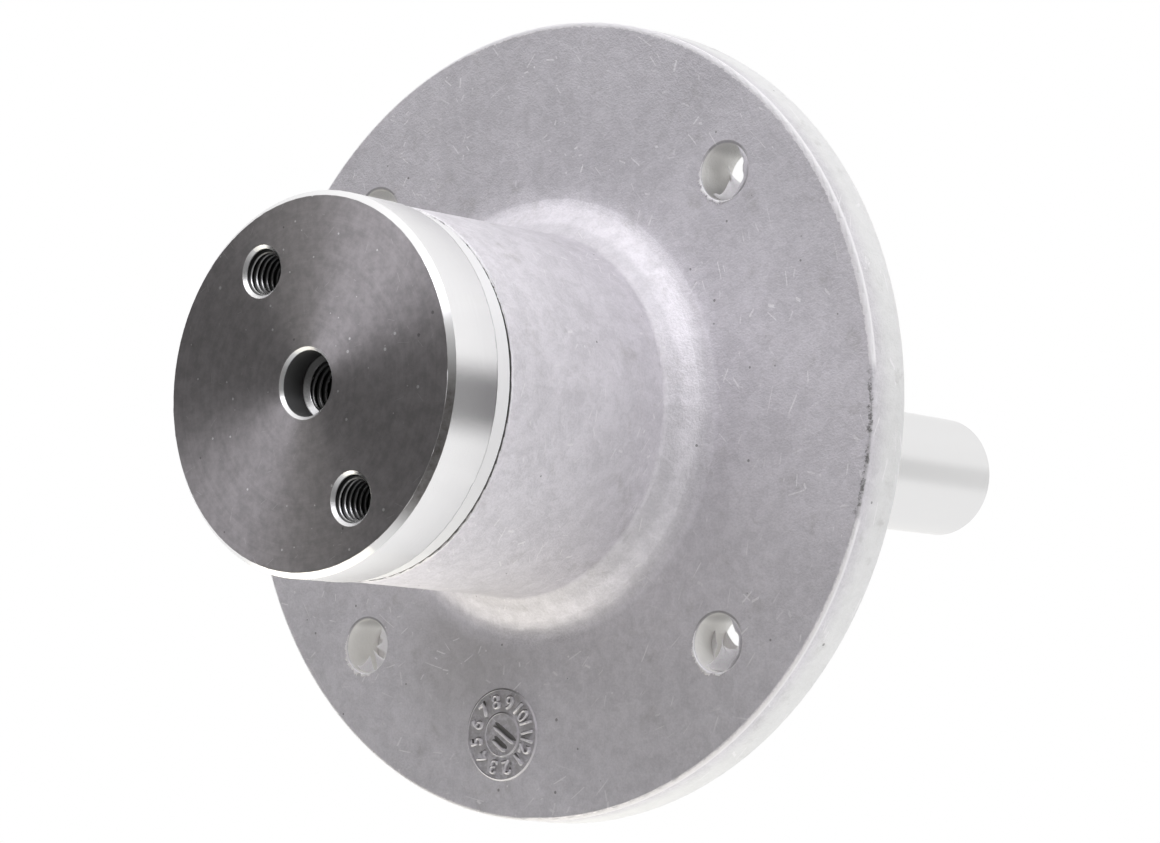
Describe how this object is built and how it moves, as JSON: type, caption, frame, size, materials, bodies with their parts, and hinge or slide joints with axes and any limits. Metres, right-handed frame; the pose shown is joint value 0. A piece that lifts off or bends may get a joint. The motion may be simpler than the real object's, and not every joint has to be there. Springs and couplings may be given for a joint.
{
  "type": "mower blade spindle",
  "caption": "Flanged cast bearing housing with a ball-bearing spindle: a drilled blade plate at one end and a plain keyed pulley shaft at the other.",
  "frame": {"origin": "centre of the blade face, which the part stands on", "axes": "+Z along the shaft from the blade face to the pulley end; the flange holes lie at 45 degrees between +X and +Y"},
  "size_m": [0.146, 0.1458, 0.196],
  "materials": {
    "cast_aluminium": "as cast, matte, lightly tumbled",
    "turned_steel": "fine turned and ground",
    "bearing_steel": "ground and polished",
    "tube_steel": "drawn tube",
    "spring_steel": "phosphated spring steel",
    "cage_steel": "pressed sheet",
    "seal_rubber": "matte moulded rubber"
  },
  "bodies": {
    "housing": {"bearing_housing": "cast_aluminium", "lower_bearing_outer_ring": "bearing_steel", "lower_bearing_lower_seal": "seal_rubber", "lower_bearing_upper_seal": "seal_rubber", "upper_bearing_outer_ring": "bearing_steel", "upper_bearing_lower_seal": "seal_rubber", "upper_bearing_upper_seal": "seal_rubber"},
    "spindle": {"spindle": "turned_steel", "spacer_tube": "tube_steel", "shaft_clip": "spring_steel", "lower_bearing_inner_ring": "bearing_steel", "upper_bearing_inner_ring": "bearing_steel"},
    "lower_cage": {"lower_bearing_balls": "bearing_steel", "lower_bearing_cage_lower_half": "cage_steel", "lower_bearing_cage_rivets": "cage_steel", "lower_bearing_cage_upper_half": "cage_steel"},
    "upper_cage": {"upper_bearing_balls": "bearing_steel", "upper_bearing_cage_lower_half": "cage_steel", "upper_bearing_cage_rivets": "cage_steel", "upper_bearing_cage_upper_half": "cage_steel"}
  },
  "joints": [
    {"name": "spindle_turn", "type": "hinge", "parent": "housing", "child": "spindle", "pos_m": [0, 0, 0.05], "axis": [0, 0, 1], "continuous": true},
    {"name": "lower_cage_turn", "type": "hinge", "parent": "housing", "child": "lower_cage", "pos_m": [0, 0, 0.0255], "axis": [0, 0, 1], "continuous": true},
    {"name": "upper_cage_turn", "type": "hinge", "parent": "housing", "child": "upper_cage", "pos_m": [0, 0, 0.0631], "axis": [0, 0, 1], "continuous": true}
  ],
  "couplings": [
    {"joint": "lower_cage_turn", "follows": "spindle_turn", "ratio": 0.39694},
    {"joint": "upper_cage_turn", "follows": "spindle_turn", "ratio": 0.39694}
  ]
}
